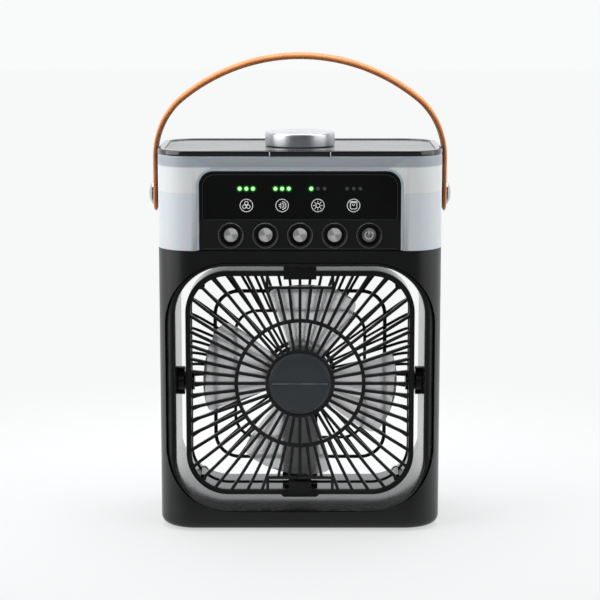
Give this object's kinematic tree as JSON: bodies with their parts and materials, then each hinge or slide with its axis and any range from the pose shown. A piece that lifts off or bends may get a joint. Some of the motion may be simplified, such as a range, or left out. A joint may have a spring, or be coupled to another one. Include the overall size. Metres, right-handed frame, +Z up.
{
  "type": "portable misting fan",
  "caption": "Upright desk fan with a tilting square fan head in an open wind tunnel, a wrap-round translucent water tank, a push-button panel, a filler knob and a leather strap.",
  "frame": {"origin": "centre of the footprint, on the surface that the feet stand on", "axes": "+Z up, -Y the front with the grille and the buttons, +X to the right seen from the front"},
  "size_m": [0.1856, 0.0942, 0.2876],
  "materials": {
    "housing": "satin moulded black",
    "bezel": "semi-gloss black",
    "tunnel": "satin black",
    "inner_plastic": "satin black",
    "rubber": "matte",
    "screw_steel": "bright zinc",
    "circuit_board": "green solder mask",
    "inlet_metal": "bright",
    "tank": "frosted translucent",
    "silicone": "soft translucent",
    "lid_gloss": "gloss black",
    "lid_inlay": "fine satin grey",
    "seal_rubber": "matte red",
    "knob_metal": "turned and brushed, bright rim",
    "panel_satin": "satin black",
    "panel_rim": "frosted pale",
    "display": "polished black",
    "ring_metal": "bright",
    "button_metal": "brushed disc",
    "switch_black": "matte",
    "led_lit": "lit green lens",
    "led_unlit": "smoked lens",
    "piezo_brass": "plain",
    "cotton": "felted cotton",
    "grille": "semi-gloss black",
    "head_frame": "semi-gloss black",
    "hub_badge": "semi-gloss charcoal",
    "copper": "enamelled copper wire",
    "bronze": "sintered bronze",
    "pivot_black": "gloss black",
    "pin_steel": "ground",
    "blades": "smoky translucent",
    "magnet": "ferrite grey",
    "leather": "smooth tan leather, darker edge",
    "rivet_chrome": "polished"
  },
  "bodies": {
    "housing": {"front_shell": "housing", "rear_shell": "housing", "window_bezel": "bezel", "wind_tunnel": "tunnel", "tank_deck": "inner_plastic", "base_plate": "inner_plastic", "rubber_feet": "rubber", "shell_screws": "screw_steel", "base_screws": "screw_steel", "power_board": "circuit_board", "power_inlet": "inlet_metal", "water_tank": "tank", "tank_gasket": "silicone", "lid": "lid_gloss", "lid_inlay": "lid_inlay", "lid_tab": "lid_gloss", "panel_body": "panel_satin", "panel_rim": "panel_rim", "display_window": "display", "button_rings": "ring_metal", "control_board": "circuit_board", "tact_switches": "switch_black", "board_screws": "screw_steel", "status_leds_lit": "led_lit", "status_leds_unlit": "led_unlit", "mist_chamber": "inner_plastic", "atomiser_discs": "piezo_brass", "atomiser_seals": "silicone", "wicks": "cotton", "pivot_bosses": "pivot_black", "strap_rivets": "rivet_chrome", "strap_bosses": "pivot_black", "rivet_nuts": "screw_steel"},
    "fan_head": {"head_frame": "head_frame", "front_grille": "grille", "hub_badge": "hub_badge", "grille_clips": "grille", "rear_guard": "grille", "motor_arm": "grille", "motor_base": "inner_plastic", "motor_stator": "copper", "motor_bearings": "bronze", "head_screws": "screw_steel", "pivot_pins": "pin_steel", "pivot_collars": "pivot_black"},
    "impeller": {"impeller": "blades", "rotor_magnet": "magnet", "motor_shaft": "pin_steel", "shaft_clip": "screw_steel"},
    "filler_plug": {"filler_plug": "inner_plastic", "plug_seal": "seal_rubber"},
    "knob": {"knob_core": "inner_plastic", "knob_cap": "knob_metal"},
    "strap": {"strap": "leather"},
    "speed_button": {"speed_button": "button_metal"},
    "mist_button": {"mist_button": "button_metal"},
    "light_button": {"light_button": "button_metal"},
    "timer_button": {"timer_button": "button_metal"},
    "power_button": {"power_button": "button_metal"}
  },
  "joints": [
    {"name": "head_tilt", "type": "hinge", "parent": "housing", "child": "fan_head", "pos_m": [0, -0.0155, 0.0876], "axis": [1, 0, 0], "range_deg": [-30, 30]},
    {"name": "impeller_spin", "type": "hinge", "parent": "fan_head", "child": "impeller", "pos_m": [0, -0.0155, 0.0876], "axis": [0, 1, 0], "continuous": true},
    {"name": "plug_lift", "type": "slide", "parent": "housing", "child": "filler_plug", "axis": [0, 0, 1], "range_m": [0, 0.03]},
    {"name": "knob_twist", "type": "hinge", "parent": "filler_plug", "child": "knob", "pos_m": [0, 0, 0.2335], "axis": [0, 0, 1], "range_deg": [0, 90]},
    {"name": "strap_swing", "type": "hinge", "parent": "housing", "child": "strap", "pos_m": [0, 0, 0.2025], "axis": [1, 0, 0], "range_deg": [-15, 15]},
    {"name": "speed_button_press", "type": "slide", "parent": "housing", "child": "speed_button", "axis": [0, 1, 0], "range_m": [0, 0.0012], "stiffness_N_per_m": 900, "springref_m": -0.0006},
    {"name": "mist_button_press", "type": "slide", "parent": "housing", "child": "mist_button", "axis": [0, 1, 0], "range_m": [0, 0.0012], "stiffness_N_per_m": 900, "springref_m": -0.0006},
    {"name": "light_button_press", "type": "slide", "parent": "housing", "child": "light_button", "axis": [0, 1, 0], "range_m": [0, 0.0012], "stiffness_N_per_m": 900, "springref_m": -0.0006},
    {"name": "timer_button_press", "type": "slide", "parent": "housing", "child": "timer_button", "axis": [0, 1, 0], "range_m": [0, 0.0012], "stiffness_N_per_m": 900, "springref_m": -0.0006},
    {"name": "power_button_press", "type": "slide", "parent": "housing", "child": "power_button", "axis": [0, 1, 0], "range_m": [0, 0.0012], "stiffness_N_per_m": 900, "springref_m": -0.0006}
  ]
}
